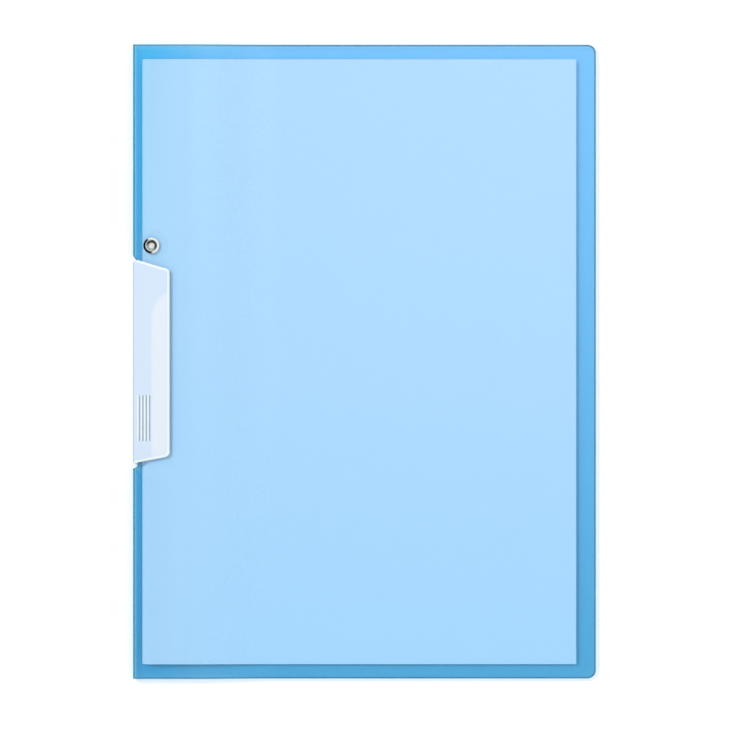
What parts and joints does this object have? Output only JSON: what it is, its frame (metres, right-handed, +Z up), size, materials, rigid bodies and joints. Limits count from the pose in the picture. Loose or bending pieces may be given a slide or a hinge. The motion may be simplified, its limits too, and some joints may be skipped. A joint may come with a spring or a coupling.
{
  "type": "swing clip report folder",
  "caption": "A4 report folder in translucent blue sheet with a white clip that swings about an eyelet at the spine, holding a stack of white paper.",
  "frame": {"origin": "middle of the folder in plan, level with the table that it lies on", "axes": "+Z up, out of the front cover; +Y up the page, to the head of the folder; +X from the spine to the open side"},
  "size_m": [0.227, 0.311, 0.0086],
  "materials": {
    "blue_sheet": "translucent blue polypropylene sheet, fine matt grain",
    "white_clip": "milky translucent white moulding, satin",
    "eyelet_metal": "nickel plated, smooth",
    "white_paper": "uncoated office paper"
  },
  "bodies": {
    "folder": {"folder_back": "blue_sheet", "eyelet": "eyelet_metal", "paper_stack": "white_paper"},
    "cover": {"front_cover": "blue_sheet"},
    "clip": {"swing_clip": "white_clip"}
  },
  "joints": [
    {"name": "cover_hinge", "type": "hinge", "parent": "folder", "child": "cover", "pos_m": [-0.09, 0, 0.00675], "axis": [0, -1, 0], "range_deg": [0, 150]},
    {"name": "clip_swing", "type": "hinge", "parent": "folder", "child": "clip", "pos_m": [-0.1045, 0.0569, 0], "axis": [0, 0, -1], "range_deg": [0, 55]}
  ]
}
